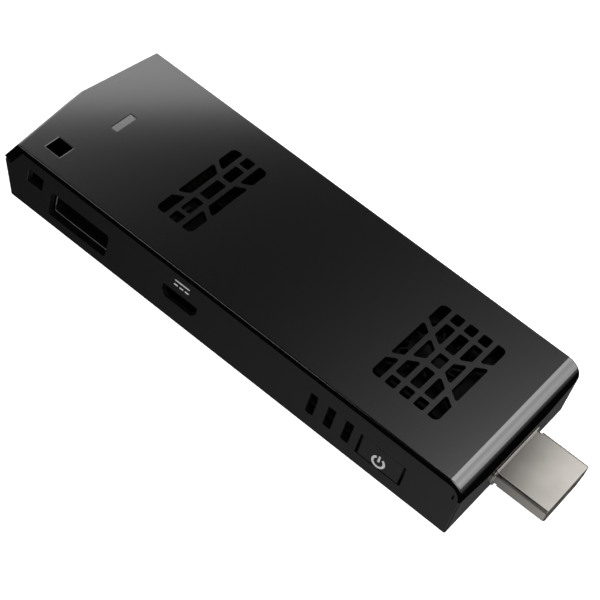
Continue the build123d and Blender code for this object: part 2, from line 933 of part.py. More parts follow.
def card_shell_part():
    half = card_width / 2
    mouth = card_front
    outer = block(card_back - half, card_back + half, mouth - card_depth, mouth,
                  board_top, board_top + card_height)
    inner = block(card_back - half + card_shell, card_back + half - card_shell,
                  mouth - card_depth + card_shell, mouth + overrun,
                  board_top - overrun, board_top + card_height - card_shell)
    return outer - inner


def card_base_part():
    """Plastic floor of the card socket, with side rails that guide the card."""
    half = card_width / 2 - card_shell - neck_gap
    mouth = card_front
    rear = mouth - card_depth + card_shell + neck_gap
    high = board_top + card_base_thickness + card_slot_height
    slab = block(card_back - half, card_back + half, rear, mouth, board_top, high)
    slot_half = card_width / 2 - card_rail
    slot = block(card_back - slot_half, card_back + slot_half, rear + card_shell + 2 * neck_gap,
                 mouth + overrun, board_top + card_base_thickness, high + overrun)
    return slab - slot


def card_contacts_part():
    strips = []
    rear = card_front - card_depth + 2 * card_contact_length
    low = board_top + card_base_thickness
    for number in range(card_contact_count):
        place = (number - (card_contact_count - 1) / 2) * card_contact_pitch
        back_0 = card_back + place - card_contact_width / 2
        back_1 = card_back + place + card_contact_width / 2
        strips.append(block(back_0, back_1, rear - card_contact_length, rear,
                            low, low + card_contact_thickness))
    return Compound(strips)


def plug_shell_part():
    """Drawn tube of the plug, with a shallow neck where it leaves the collar."""
    tube = plug_prism(0, -plug_reach, plug_tail, plug_corner)
    tube = fillet(tube.faces().sort_by(Axis.X)[-1].edges(), plug_lip)
    bore = plug_prism(-plug_shell, -plug_reach - overrun, plug_tail + overrun, plug_corner - plug_shell / 2)
    ring = plug_prism(plug_shell, -neck_end, -neck_start, plug_corner)
    ring -= plug_prism(-neck_depth, -neck_end - overrun, -neck_start + overrun, plug_corner)
    return tube - bore - ring


def collar_part():
    """Plate round the plug just in front of the body."""
    back_0 = -collar_front
    back_1 = collar_thickness - collar_front
    plate = plug_prism(collar_border, back_0, back_1, plug_corner + collar_border)
    plate = fillet(plate.faces().sort_by(Axis.X)[-1].edges(), collar_edge)
    return plate - plug_prism(0, back_0 - overrun, back_1 + overrun, plug_corner)


def contact_rows():
    """Sideways place and low face of each plug contact: a row above the board and one below."""
    rows = []
    for number in range(upper_contact_count):
        rows.append(((number - (upper_contact_count - 1) / 2) * contact_pitch, board_top))
    for number in range(lower_contact_count):
        across = (number - (lower_contact_count - 1) / 2) * contact_pitch
        rows.append((across, board_low - contact_thickness))
    return rows


def plug_contacts_part():
    strips = []
    for side, low in contact_rows():
        strips.append(block(contact_setback - plug_reach, plug_tail + contact_foot,
                            side - contact_width / 2, side + contact_width / 2,
                            low, low + contact_thickness))
    return Compound(strips)


def plug_insulator_part():
    """Plastic filling of the plug, with the slot that the mating tongue enters."""
    rear_border = -plug_shell - plug_inner_gap
    filling = plug_prism(rear_border, contact_setback / 2 - plug_reach, plug_tail, plug_corner)
    half = slot_width / 2
    slot = block(-plug_reach, slot_depth - plug_reach, -half, half,
                 board_low - contact_thickness, board_top + contact_thickness)
    return filling - slot - plug_contacts_part()


def fan_low():
    return board_top + fan_lift


def fan_plan(low, high):
    """Square plan of the fan with rounded upright edges."""
    solid = block(fan_front, fan_rear, fan_near_side, fan_near_side + fan_size, low, high)
    return fillet(solid.edges().filter_by(Axis.Z), fan_corner)


def fan_tower(radius, low, high):
    return tower(fan_centre_back, fan_centre_side, radius, low, high)


def fan_ring(outer, inner, low, high):
    return fan_tower(outer, low, high) - fan_tower(inner, low - overrun, high + overrun)


def fan_deck():
    """Height of the fan's inside floor."""
    return fan_low() + fan_floor


def fan_lid_low():
    """Height of the fan's cover plate, which closes the housing."""
    return fan_low() + fan_height - fan_cover_thickness


def ear_places():
    """Places of the fan's screw ears, as (back, side)."""
    front = fan_front + ear_radius
    rear = fan_rear - ear_radius
    far = fan_near_side + fan_size + ear_stand
    near = fan_near_side - ear_stand
    return [(front, far), (rear, far), (front, near)]


def board_screw_places():
    """Places of the screws that go straight into the board, as (back, side)."""
    return [(far_screw_back, board_screw_side), (near_screw_back, -board_screw_side),
            (tail_screw_back, board_screw_side)]


def standoff_places():
    return [(spreader_rear - standoff_inset, -standoff_side),
            (spreader_front + standoff_inset, standoff_side)]


def fan_housing_part():
    """Scroll housing with its outlet to the near side, bearing boss and three ears on feet."""
    housing = fan_plan(fan_low(), fan_lid_low())
    for back, side in ear_places():
        housing += tower(back, side, ear_radius, board_top, fan_low() + ear_thickness)
    scroll_radius = rotor_radius + fan_scroll_gap
    scroll = fan_tower(scroll_radius, fan_deck(), fan_lid_low() + overrun)
    outlet = block(fan_centre_back + fan_throat, fan_centre_back + scroll_radius,
                   fan_near_side - overrun, fan_centre_side, fan_deck(), fan_lid_low() + overrun)
    housing = housing - scroll - outlet
    bore = bearing_radius + bearing_gap
    stator_low = fan_deck() + stator_lift
    housing += fan_tower(stator_bore - bearing_gap, fan_low(), stator_low + stator_height)
    housing += fan_tower(stator_seat, fan_low(), stator_low)
    housing -= fan_tower(bore, fan_low() + fan_floor / 2, stator_low + stator_height + overrun)
    for back, side in ear_places():
        housing -= tower(back, side, screw_radius + 2 * screw_gap, board_top - overrun, fan_lid_low())
    return housing


def fan_cover_part():
    plate = fan_plan(fan_lid_low(), fan_lid_low() + fan_cover_thickness)
    return plate - fan_tower(fan_intake_radius, fan_lid_low() - overrun, fan_lid_low() + overrun)


def rotor_low():
    return fan_deck() + rotor_lift


def rotor_high():
    return fan_lid_low() - rotor_gap


def fan_impeller_part():
    """Hub cup with a ring of leaned blades on a thin disc."""
    low = rotor_low()
    high = rotor_high()
    wheel = fan_tower(hub_radius, low, high)
    wheel += fan_ring(rotor_radius - rotor_gap, hub_radius - hub_wall / 2, low, low + rotor_disc)
    lean = math.radians(blade_lean)
    start = hub_radius - blade_root
    blade_length = math.sqrt(rotor_radius**2 - (start * math.sin(lean))**2) - start * math.cos(lean)
    blade = Box(blade_length, blade_thickness, high - low, align=(Align.MIN, Align.CENTER, Align.MIN))
    centre = Pos(at_x(fan_centre_back), fan_centre_side, low)
    for number in range(blade_count):
        turn = Rot(0, 0, number * 360 / blade_count)
        wheel += centre * turn * Pos(start, 0, 0) * Rot(0, 0, blade_lean) * blade
    wheel = wheel & fan_tower(rotor_radius, low, high)
    return wheel - fan_tower(hub_radius - hub_wall, low - overrun, high - hub_wall)


def fan_shaft_part():
    return fan_tower(shaft_radius, fan_low() + fan_floor / 2 + shaft_end_gap, rotor_high() - hub_wall)


def fan_magnet_part():
    high = rotor_high() - hub_wall
    return fan_ring(magnet_radius, magnet_radius - magnet_thickness, rotor_low(), high)


def fan_bearing_part():
    return fan_ring(bearing_radius, shaft_radius + shaft_gap, fan_deck() - fan_floor / 2,
                    fan_deck() + stator_lift + stator_height)


def stator_pole(width, start, end, low, high):
    pole = block(-end, -start, -width / 2, width / 2, low, high)
    return Pos(-front_x, 0, 0) * pole


def around_fan(solid, number):
    """A copy of a solid made at the origin, turned to one of the stator's poles."""
    turn = number * 360 / stator_pole_count
    return Pos(at_x(fan_centre_back), fan_centre_side, 0) * Rot(0, 0, turn) * solid


def fan_stator_part():
    low = fan_deck() + stator_lift
    high = low + stator_height
    core = fan_tower(stator_core_radius, low, high)
    for number in range(stator_pole_count):
        core += around_fan(stator_pole(stator_pole_width, 0, stator_tip, low, high), number)
        tip = stator_pole(stator_tip_width, stator_tip - stator_tip_depth, stator_tip, low, high)
        core += around_fan(tip, number)
    core = core & fan_tower(stator_tip, low, high)
    return core - fan_tower(stator_bore, low - overrun, high + overrun)


def fan_coils_part():
    """One winding round each pole, as a plain ring of its outer size."""
    low = fan_deck() + stator_lift
    high = low + stator_height
    grown = stator_pole_width + 2 * coil_gap
    coil = stator_pole(grown + 2 * coil_thickness, coil_start, coil_end, low - coil_gap - coil_thickness,
                       high + coil_gap + coil_thickness)
    coil -= stator_pole(grown, coil_start - overrun, coil_end + overrun, low - coil_gap, high + coil_gap)
    return Compound([around_fan(coil, number) for number in range(stator_pole_count)])


def tube_on(path_points, radius, radii):
    """Round tube along straight runs joined by tangent arcs."""
    path = FilletPolyline(*path_points, radius=radii)
    start = Plane(origin=path @ 0, z_dir=path % 0)
    return sweep(start * Circle(radius), path=path)


def lead_height():
    return fan_low() + lead_radius + fan_floor / 2


def lead_corner():
    """Distance back of the fan lead's corner, in front of the fan."""
    return fan_front - lead_bend - lead_straight


def lead_end():
    """Sideways place where the fan lead goes into its plug."""
    return lead_side - lead_bend - lead_run


def fan_lead_part():
    """Lead out of the fan's front wall, round a bend to its plug on the near side."""
    corner = at_x(lead_corner())
    height = lead_height()
    points = [(at_x(fan_front), lead_side, height),
              (corner, lead_side, height),
              (corner, lead_end(), height)]
    print("fan lead bend radius", lead_bend, "wire diameter", 2 * lead_radius)
    return tube_on(points, lead_radius, [lead_bend])


def fan_connector_part():
    """Housing of the fan's plug on the board, where the lead ends."""
    back = lead_corner()
    half = lead_plug_length / 2
    return block(back - half, back + half, lead_end() - lead_plug_width, lead_end(),
                 board_top, lead_height() + lead_radius + fan_floor / 2)


def antenna_low():
    return cover_under - antenna_gap - antenna_thickness


def antenna_part():
    half = antenna_length / 2
    across = antenna_width / 2
    return block(antenna_back - half, antenna_back + half, antenna_side - across, antenna_side + across,
                 antenna_low(), antenna_low() + antenna_thickness)


def coax_points():
    """Route of the antenna cable: off its plug, up beside the wireless module, under the antenna."""
    start = coax_plug_back + coax_plug_radius
    low = board_top + coax_plug_height / 2
    high = antenna_low() - solder - coax_radius
    foot = start + coax_straight
    head = foot + high - low
    return [
        (at_x(start), coax_plug_side, low),
        (at_x(foot), coax_plug_side, low),
        (at_x(head), coax_plug_side, high),
        (at_x(head + coax_end), coax_plug_side, high),
    ]


def antenna_cable_part():
    print("antenna cable bend radii", [coax_bend, coax_bend], "diameter", 2 * coax_radius)
    return tube_on(coax_points(), coax_radius, [coax_bend, coax_bend])


def coax_plug_part():
    """Round snap plug on the board; its flat rear side takes the cable."""
    flat = coax_plug_back + coax_plug_radius
    drum = tower(coax_plug_back, coax_plug_side, coax_plug_radius, board_top, board_top + coax_plug_height)
    spout = block(coax_plug_back, flat, coax_plug_side - coax_radius, coax_plug_side + coax_radius,
                  board_top, board_top + coax_plug_height)
    return drum + spout


def screw(back, side, seat, tip):
    """Pan head on its seat, a plain shank down to the tip, and a cross in the head."""
    top = seat + screw_head_height
    solid = tower(back, side, screw_radius, tip, seat + screw_head_height / 2)
    solid += tower(back, side, screw_head_radius, seat, top)
    arm = screw_head_radius * cross_share
    half = screw_slot_width / 2
    long_cut = block(back - arm, back + arm, side - half, side + half, top - screw_slot_depth, top + overrun)
    wide_cut = block(back - half, back + half, side - arm, side + arm, top - screw_slot_depth, top + overrun)
    return solid - long_cut - wide_cut


def post_floor():
    """Height of the bottom of the pilot holes in the base's posts."""
    return wall + post_root


def fan_screws_part():
    seat = fan_low() + ear_thickness
    return Compound([screw(back, side, seat, post_floor() + screw_gap) for back, side in ear_places()])


def board_screws_part():
    places = board_screw_places()
    return Compound([screw(back, side, board_top, post_floor() + screw_gap) for back, side in places])


def spreader_screws_part():
    seat = spreader_high
    tip = board_top + screw_gap
    return Compound([screw(back, side, seat, tip) for back, side in standoff_places()])


def standoffs_part():
    sleeves = []
    for back, side in standoff_places():
        sleeve = tower(back, side, standoff_radius, board_top, spreader_low)
        sleeve -= tower(back, side, screw_radius + screw_gap, board_top - overrun, spreader_low + overrun)
        sleeves.append(sleeve)
    return Compound(sleeves)


def heat_spreader_part():
    """Plate over the processor, an arm to the exhaust side and two screw ears."""
    low = spreader_low
    high = spreader_high
    plate = block(spreader_front, spreader_rear, -spreader_half, spreader_half, low, high)
    plate += block(spreader_arm_front, spreader_front + spreader_thickness, spreader_arm_near,
                   spreader_arm_far, low, high)
    plate += block(spreader_front, spreader_front + spreader_arm_root, spreader_arm_near,
                   -spreader_half + overrun, low, high)
    for back, side in standoff_places():
        inner = math.copysign(spreader_half - spreader_ear, side)
        sides = sorted((inner, side))
        plate += tower(back, side, spreader_ear, low, high)
        plate += block(back - spreader_ear, back + spreader_ear, *sides, low, high)
    for back, side in standoff_places():
        plate -= tower(back, side, screw_radius + 2 * screw_gap, low - overrun, high + overrun)
    return plate


def fin_comb(root, tip):
    """Plate at the height root with fins to the height tip, above or below it."""
    start = spreader_arm_front + fin_margin
    end = spreader_front - fin_margin
    plate_end = root + math.copysign(fin_thickness, tip - root)
    comb = block(start, end, spreader_arm_near, spreader_arm_far, min(root, plate_end), max(root, plate_end))
    step = (end - start - fin_thickness) / (fin_count - 1)
    for number in range(fin_count):
        back = start + number * step
        comb += block(back, back + fin_thickness, spreader_arm_near, spreader_arm_far,
                      min(root, tip), max(root, tip))
    return comb


def heat_sink_fins_part():
    """Combs of fins on both faces of the spreader's arm, in line with the air from fan to exhaust."""
    return Compound([fin_comb(spreader_high, fin_high), fin_comb(spreader_low, fin_low)])


def chip(back, side, length, width, low, height):
    return block(back - length / 2, back + length / 2, side - width / 2, side + width / 2, low, low + height)


def processor_part():
    package = chip(chip_back, 0, chip_size, chip_size, board_top, chip_height)
    die_low = board_top + chip_height / 2
    return package + chip(chip_back, 0, die_size, die_size, die_low, chip_height / 2 + die_height)


def thermal_pad_part():
    return chip(chip_back, 0, pad_size, pad_size, board_top + chip_height + die_height, pad_thickness)


def memory_chips_part():
    chips = []
    low = board_low - memory_height
    for lengthwise in (-1, 1):
        for sideways in (-1, 1):
            back = chip_back + lengthwise * (memory_length + memory_gap) / 2
            side = sideways * (memory_width + memory_gap) / 2
            chips.append(chip(back, side, memory_length, memory_width, low, memory_height))
    return Compound(chips)


def storage_chip_part():
    low = board_low - storage_height
    return chip(storage_back, storage_side, storage_length, storage_width, low, storage_height)


def inductors_part():
    coils = []
    for number in range(inductor_count):
        side = inductor_side + (number - (inductor_count - 1) / 2) * inductor_pitch
        body = chip(inductor_back, side, inductor_size, inductor_size, board_top, inductor_height)
        coils.append(chamfer(body.edges().filter_by(Axis.Z), inductor_corner))
    return Compound(coils)


def capacitors_part():
    pieces = []
    for number in range(capacitor_count):
        side = capacitor_side - number * capacitor_pitch
        pieces.append(chip(capacitor_back, side, capacitor_length, capacitor_width,
                           board_top, capacitor_height))
    return Compound(pieces)


def driver_chips_part():
    pieces = []
    for number in range(driver_count):
        side = (number - (driver_count - 1) / 2) * driver_pitch
        pieces.append(chip(driver_back, side, driver_length, driver_width, board_top, driver_height))
    return Compound(pieces)


def wifi_board_part():
    return chip(wifi_back, wifi_side, wifi_length, wifi_width, board_top, wifi_board_thickness)


def wifi_can_part():
    low = board_top + wifi_board_thickness
    length = wifi_length - 2 * wifi_can_margin
    width = wifi_width - 2 * wifi_can_margin
    can = chip(wifi_back, wifi_side, length, width, low, wifi_can_height)
    inner_length = length - 2 * wifi_can_wall
    inner_width = width - 2 * wifi_can_wall
    return can - chip(wifi_back, wifi_side, inner_length, inner_width, low - wifi_can_wall, wifi_can_height)


def main_board_part():
    """Board with a notch behind the button, one round the full-size socket, and screw holes."""
    board = block(board_front, board_rear, -board_side, board_side, board_low, board_top)
    button_reach = button_width / 2 + button_flange + board_gap
    board -= block(button_back - button_reach, button_back + button_reach, -body_width, -board_notch_side(),
                   board_low - overrun, board_top + overrun)
    usb_reach = usb_width / 2 + board_gap / 2
    board -= block(usb_back - usb_reach, usb_back + usb_reach, -body_width,
                   usb_rear + board_gap, board_low - overrun, board_top + overrun)
    for back, place in ear_places() + board_screw_places():
        board -= tower(back, place, screw_radius + 2 * screw_gap, board_low - overrun, board_top + overrun)
    return board


def base_cavity():
    """Hollow of the base above its floor."""
    inside = form(wall, wall, wall, wall, wall)
    return inside & block(-overrun, body_length + overrun, -body_width, body_width, wall, body_height)


def base_tongues():
    """Ribs inside the front and rear walls that close the joins to the cover."""
    wall_side = half_width - wall
    tongue_side = neck_side - neck_wall - neck_gap
    root = block(wall / 2, wall + neck_gap, -wall_side, wall_side, wall / 2, body_height)
    root = root & below_lip(seam, lip_back)
    front_rib = block(wall + neck_gap, wall + neck_gap + neck_wall, -tongue_side, tongue_side,
                      wall / 2, body_height)
    front_rib = front_rib & below_lip(-neck_reach / 2, wall + overrun)
    inset = wall + neck_gap
    outer = form(wall + neck_wall + 2 * neck_gap, wall, wall, inset, wall / 2)
    inner = form(wall + 2 * neck_wall + 2 * neck_gap, wall, wall, inset + neck_wall, wall + neck_wall)
    tail = block(board_rear + board_gap, body_length, -body_width, body_width, wall / 2,
                 ridge_height + neck_reach / 2)
    return root + front_rib + ((outer - inner) & tail)


def base_posts():
    posts = []
    for back, side in ear_places() + board_screw_places():
        posts.append(tower(back, side, post_radius, wall / 2, board_low))
    return posts


def base_shell():
    zone = outer_form() & base_zone()
    base = zone - base_cavity()
    curve_end = front_radius + wall
    above = block(-overrun, curve_end, wall - half_width, half_width - wall, 0, body_height + overrun)
    base -= above - below_lip(seam, curve_end)
    base = base + base_tongues() + base_posts()
    for back, side in ear_places() + board_screw_places():
        base -= tower(back, side, screw_radius + screw_gap, post_floor(), board_low + overrun)
    base -= plug_prism(collar_gap, -overrun, plug_tail, plug_corner)
    near = -half_width - overrun
    near_inside = wall - half_width + neck_gap / 2
    base -= side_box(usb_back, usb_width + 2 * usb_side_gap, usb_opening_low, usb_opening_high,
                     near, near_inside, usb_corner)
    base -= micro_prism(micro_gap, near, near_inside, micro_corner)
    for number in range(exhaust_count):
        place = exhaust_back + (number - (exhaust_count - 1) / 2) * exhaust_pitch
        base -= side_box(place, exhaust_width, exhaust_low, exhaust_high, near, near_inside, exhaust_corner)
    half = button_height / 2 + button_top_gap
    base -= side_box(button_back, button_width + 2 * button_side_gap, button_lift - half,
                     button_lift + half, near, near_inside, button_edge)
    base -= lanyard_passage()
    base = fillet(mouth_edges(base, -half_width, -half_width, lanyard_low, lanyard_high), lanyard_edge)
    base -= block(notch_back - notch_width / 2, notch_back + notch_width / 2, near, notch_depth - half_width,
                  notch_low, notch_high)
    slot_low = board_top + card_base_thickness - neck_gap
    slot_width_out = card_width - 2 * card_rail + 2 * card_slot_margin
    base -= side_box(card_back, slot_width_out, slot_low, slot_low + card_slot_wall_height,
                     half_width - wall - neck_gap / 2, half_width + overrun, exhaust_corner)
    pocket_height = snap_height + 2 * snap_clear
    pockets = snap_nubs(snap_reach + snap_clear, snap_length + 2 * snap_clear, pocket_height,
                        snap_low + snap_height / 2)
    return base - pockets


PARTS = {
    "top_cover": top_cover,
    "base_shell": base_shell,
    "light_pipe": light_pipe,
    "power_button": power_button,
    "switch_body": switch_body,
    "switch_plunger": switch_plunger,
    "hdmi_plug_shell": plug_shell_part,
    "hdmi_collar": collar_part,
    "hdmi_insulator": plug_insulator_part,
    "hdmi_contacts": plug_contacts_part,
    "usb_socket_shell": usb_shell_part,
    "usb_socket_tongue": usb_tongue_part,
    "usb_socket_contacts": usb_contacts_part,
    "micro_usb_shell": micro_shell_part,
    "micro_usb_tongue": micro_tongue_part,
    "micro_usb_contacts": micro_contacts_part,
    "card_socket_shell": card_shell_part,
    "card_socket_base": card_base_part,
    "card_socket_contacts": card_contacts_part,
    "main_board": main_board_part,
    "processor": processor_part,
    "thermal_pad": thermal_pad_part,
    "heat_spreader": heat_spreader_part,
    "heat_sink_fins": heat_sink_fins_part,
    "spreader_standoffs": standoffs_part,
    "spreader_screws": spreader_screws_part,
    "memory_chips": memory_chips_part,
    "storage_chip": storage_chip_part,
    "driver_chips": driver_chips_part,
    "inductors": inductors_part,
    "capacitors": capacitors_part,
    "wifi_board": wifi_board_part,
    "wifi_shield_can": wifi_can_part,
    "antenna_strip": antenna_part,
    "antenna_cable": antenna_cable_part,
    "antenna_cable_plug": coax_plug_part,
    "fan_housing": fan_housing_part,
    "fan_cover": fan_cover_part,
    "fan_impeller": fan_impeller_part,
    "fan_shaft": fan_shaft_part,
    "fan_magnet": fan_magnet_part,
    "fan_bearing": fan_bearing_part,
    "fan_stator": fan_stator_part,
    "fan_coils": fan_coils_part,
    "fan_lead": fan_lead_part,
    "fan_connector": fan_connector_part,
    "fan_screws": fan_screws_part,
    "board_screws": board_screws_part,
}

# Plain chips on the top of the board: node, place back, place sideways, length, width, height
CHIPS = {
    "power_chip": (power_chip_back, power_chip_side, power_chip_length, power_chip_width, power_chip_height),
    "crystal": (crystal_back, crystal_side, crystal_length, crystal_width, crystal_height),
    "status_led": (window_back, 0, led_width, led_length, led_height),
}


def main():
    os.makedirs("parts", exist_ok=True)
    for node, make in PARTS.items():
        export_step(make(), "parts/" + node + ".step")
    for node, (back, side, length, width, height) in CHIPS.items():
        export_step(chip(back, side, length, width, board_top, height), "parts/" + node + ".step")


main()
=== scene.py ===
# %% [markdown]
# # A stick computer, dressed for its picture
# The frame that this script loads already holds every solid of the computer: covers, plug,
# sockets, board and fan. Those solids stay exactly where they are. The lesson is about what is
# left for Blender: giving each solid the surface that the real part has, adding the two small
# printed marks, and lighting a nearly black object so that its shape can be read.

# %% Load the frame
import json
import math

import bpy
from mathutils import Matrix, Vector


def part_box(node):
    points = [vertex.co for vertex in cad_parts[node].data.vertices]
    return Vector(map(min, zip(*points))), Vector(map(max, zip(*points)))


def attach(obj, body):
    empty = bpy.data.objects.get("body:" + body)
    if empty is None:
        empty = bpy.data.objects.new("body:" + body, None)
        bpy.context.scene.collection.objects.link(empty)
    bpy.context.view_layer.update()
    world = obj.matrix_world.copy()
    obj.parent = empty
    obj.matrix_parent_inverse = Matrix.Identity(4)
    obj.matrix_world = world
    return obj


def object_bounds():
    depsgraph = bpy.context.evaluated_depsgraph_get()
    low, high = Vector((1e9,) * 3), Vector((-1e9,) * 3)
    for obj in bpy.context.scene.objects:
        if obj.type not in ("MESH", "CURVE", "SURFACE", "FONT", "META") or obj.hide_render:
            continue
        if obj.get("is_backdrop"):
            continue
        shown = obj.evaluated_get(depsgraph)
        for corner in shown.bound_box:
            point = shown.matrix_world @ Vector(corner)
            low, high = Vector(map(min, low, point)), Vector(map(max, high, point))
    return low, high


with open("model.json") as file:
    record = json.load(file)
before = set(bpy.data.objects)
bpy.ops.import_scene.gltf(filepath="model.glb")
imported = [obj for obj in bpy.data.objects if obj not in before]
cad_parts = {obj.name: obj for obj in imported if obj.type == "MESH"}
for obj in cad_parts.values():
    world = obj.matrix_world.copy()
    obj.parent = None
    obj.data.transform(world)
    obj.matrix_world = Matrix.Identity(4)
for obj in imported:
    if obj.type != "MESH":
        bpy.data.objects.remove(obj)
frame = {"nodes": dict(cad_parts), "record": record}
cad_low, cad_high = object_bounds()
nodes = frame["nodes"]

# %% [markdown]
# ## Units and selection
# Blender works in metres here, while a maker thinks of this product in millimetres. One named unit
# keeps the numbers readable. Operators act on whatever is selected, and the loader leaves its
# objects selected, so everything is deselected before anything new is made.

# %% Unit and selection
mm = 0.001


def in_mm(lengths, digits=1):
    return [round(length / mm, digits) for length in lengths]


def clear_selection():
    bpy.ops.object.select_all(action="DESELECT")


clear_selection()
print("the model is", in_mm(high - low for low, high in zip(cad_low, cad_high)), "mm over all")

# %% [markdown]
# ## Shared shader effects
# Moulded plastic is never perfectly even: the mould is spark-eroded, so the skin has a fine grain,
# and handling leaves broad, faint differences in gloss. Metal has rolling or brushing lines. Each
# effect is built once as a node group, with its scale and strength as inputs, and placed in the
# materials that need it. All of them read Object coordinates, which are metres in this frame, so a
# grain of a tenth of a millimetre is the same size on every part. A few helpers come first: feed
# links a socket when it gets another socket and sets it when it gets a plain value, and the others
# each add one node.

# %% Node helpers
def feed(tree, socket, value):
    if isinstance(value, bpy.types.NodeSocket):
        tree.links.new(value, socket)
    else:
        socket.default_value = value


def object_place(tree):
    return tree.nodes.new("ShaderNodeTexCoord").outputs["Object"]


def noise(tree, place, scale, detail, roughness):
    node = tree.nodes.new("ShaderNodeTexNoise")
    feed(tree, node.inputs["Vector"], place)
    feed(tree, node.inputs["Scale"], scale)
    feed(tree, node.inputs["Detail"], detail)
    feed(tree, node.inputs["Roughness"], roughness)
    return node.outputs["Fac"]


def number_math(tree, operation, *values):
    node = tree.nodes.new("ShaderNodeMath")
    node.operation = operation
    for socket, value in zip(node.inputs, values):
        feed(tree, socket, value)
    return node.outputs["Value"]


def vector_math(tree, operation, first, second):
    node = tree.nodes.new("ShaderNodeVectorMath")
    node.operation = operation
    feed(tree, node.inputs[0], first)
    feed(tree, node.inputs["Scale"] if operation == "SCALE" else node.inputs[1], second)
    return node.outputs["Value" if operation == "DOT_PRODUCT" else "Vector"]


def spread(tree, value, span, result, interpolation="LINEAR"):
    node = tree.nodes.new("ShaderNodeMapRange")
    node.interpolation_type = interpolation
    labels = ("Value", "From Min", "From Max", "To Min", "To Max")
    for label, number in zip(labels, (value, *span, *result)):
        feed(tree, node.inputs[label], number)
    return node.outputs["Result"]


print("node helpers ready")

# %% [markdown]
# A node group has its own inputs and outputs, made in its interface. The grain and the drawn lines
# put out the same three things: a colour, a roughness, and a height for a Bump node. The roughness
# swings round its base value with the pattern, so that a highlight breaks up a little.

# %% Group helpers
finish_outputs = [
    ("Color", "NodeSocketColor"),
    ("Roughness", "NodeSocketFloat"),
    ("Height", "NodeSocketFloat"),
]
noise_middle = 0.5
noise_span = (0.3, 0.7)


def new_group(name, inputs, outputs):
    group = bpy.data.node_groups.new(name, "ShaderNodeTree")
    for label, kind, value in inputs:
        socket = group.interface.new_socket(label, in_out="INPUT", socket_type=kind)
        socket.default_value = value
    for label, kind in outputs:
        group.interface.new_socket(label, in_out="OUTPUT", socket_type=kind)
    source = group.nodes.new("NodeGroupInput").outputs
    sink = group.nodes.new("NodeGroupOutput").inputs
    return group, source, sink


def put_out_finish(group, source, sink, tint, gloss_pattern, gloss_swing, height):
    swing = number_math(group, "SUBTRACT", gloss_pattern, noise_middle)
    gloss = number_math(group, "MULTIPLY_ADD", swing, gloss_swing, source["Roughness"])
    feed(group, sink["Color"], vector_math(group, "SCALE", source["Color"], tint))
    feed(group, sink["Roughness"], gloss)
    feed(group, sink["Height"], height)


print("a finish puts out", [label for label, kind in finish_outputs])

# %% [markdown]
# ### Moulded grain
# Two layers of noise: a fine one for the eroded grain and a coarse one, some ten millimetres from
# patch to patch, for wiped and handled areas. The fine one also makes the colour a little lighter
# or darker than the base, so that even black plastic has some life in it.

# %% Group: moulded grain
smudge_scale = 90.0
grain_tint = (0.8, 1.25)


def make_grain_group():
    inputs = [
        ("Color", "NodeSocketColor", (0.02, 0.02, 0.02, 1.0)),
        ("Roughness", "NodeSocketFloat", 0.4),
        ("Grain Scale", "NodeSocketFloat", 9000.0),
        ("Smudge", "NodeSocketFloat", 0.05),
    ]
    group, source, sink = new_group("moulded grain", inputs, finish_outputs)
    place = object_place(group)
    grain = noise(group, place, source["Grain Scale"], detail=2.0, roughness=0.6)
    smudge = noise(group, place, smudge_scale, detail=4.0, roughness=0.55)
    tint = spread(group, grain, noise_span, grain_tint)
    put_out_finish(group, source, sink, tint, smudge, source["Smudge"], grain)
    return group


grain_group = make_grain_group()
print("group:", grain_group.name)

# %% [markdown]
# ### Drawn metal
# A plug shell is stamped from rolled strip, and sliding in and out of sockets polishes it along
# its length. Noise that is stretched hard along one axis gives those fine lines, and broad patches
# vary the colour. The stretch is an input, so one group serves the plug (lines along X), the
# contacts and socket shells (lines along Y) and the screws (no lines).

# %% Group: drawn metal
line_scale = 5000.0
patch_scale = 160.0
patch_tint = (0.94, 1.05)


def make_metal_group():
    inputs = [
        ("Color", "NodeSocketColor", (0.6, 0.6, 0.6, 1.0)),
        ("Stretch", "NodeSocketVector", (1.0, 1.0, 1.0)),
        ("Roughness", "NodeSocketFloat", 0.3),
        ("Streak", "NodeSocketFloat", 0.12),
    ]
    group, source, sink = new_group("drawn metal", inputs, finish_outputs)
    place = object_place(group)
    drawn_out = vector_math(group, "MULTIPLY", place, source["Stretch"])
    lines = noise(group, drawn_out, line_scale, detail=3.0, roughness=0.6)
    patches = noise(group, place, patch_scale, detail=3.0, roughness=0.5)
    tint = spread(group, patches, noise_span, patch_tint)
    put_out_finish(group, source, sink, tint, lines, source["Streak"], lines)
    return group


metal_group = make_metal_group()
print("group:", metal_group.name)

# %% [markdown]
# ### Which faces look up
# The cover is polished where it is seen and touched, on top, and left duller on its narrow sides
# and under its front lip. The direction a face looks is in the Geometry node's Normal. Its Z is 1
# on top and 0 on the sides, and the group turns that into a mask with a soft edge: nothing below
# the input Side, everything above the input Top.

# %% Group: top polish
def make_polish_group():
    inputs = [("Side", "NodeSocketFloat", 0.5), ("Top", "NodeSocketFloat", 0.8)]
    group, source, sink = new_group("top polish", inputs, [("Mask", "NodeSocketFloat")])
    facing = group.nodes.new("ShaderNodeSeparateXYZ")
    feed(group, facing.inputs[0], group.nodes.new("ShaderNodeNewGeometry").outputs["Normal"])
    limits = (source["Side"], source["Top"])
    mask = spread(group, facing.outputs["Z"], limits, (0.0, 1.0), "SMOOTHSTEP")
    feed(group, sink["Mask"], mask)
    return group


polish_group = make_polish_group()
print("group:", polish_group.name)

# %% [markdown]
# ### A stamped crown
# Stamped sheet is never quite flat. The plug's shell swells a little along its length and sinks a
# little across its width, each by about a tenth of a millimetre. That is too little to see in its
# outline, but enough to draw the reflections out into a gradient. The group puts out a height that
# falls with the square of the distance from the middle. Half of the square makes the slope simple:
# it grows by the input Swell for each metre, and a negative Swell is a hollow.

# %% Group: stamped crown
half_falling = -0.5


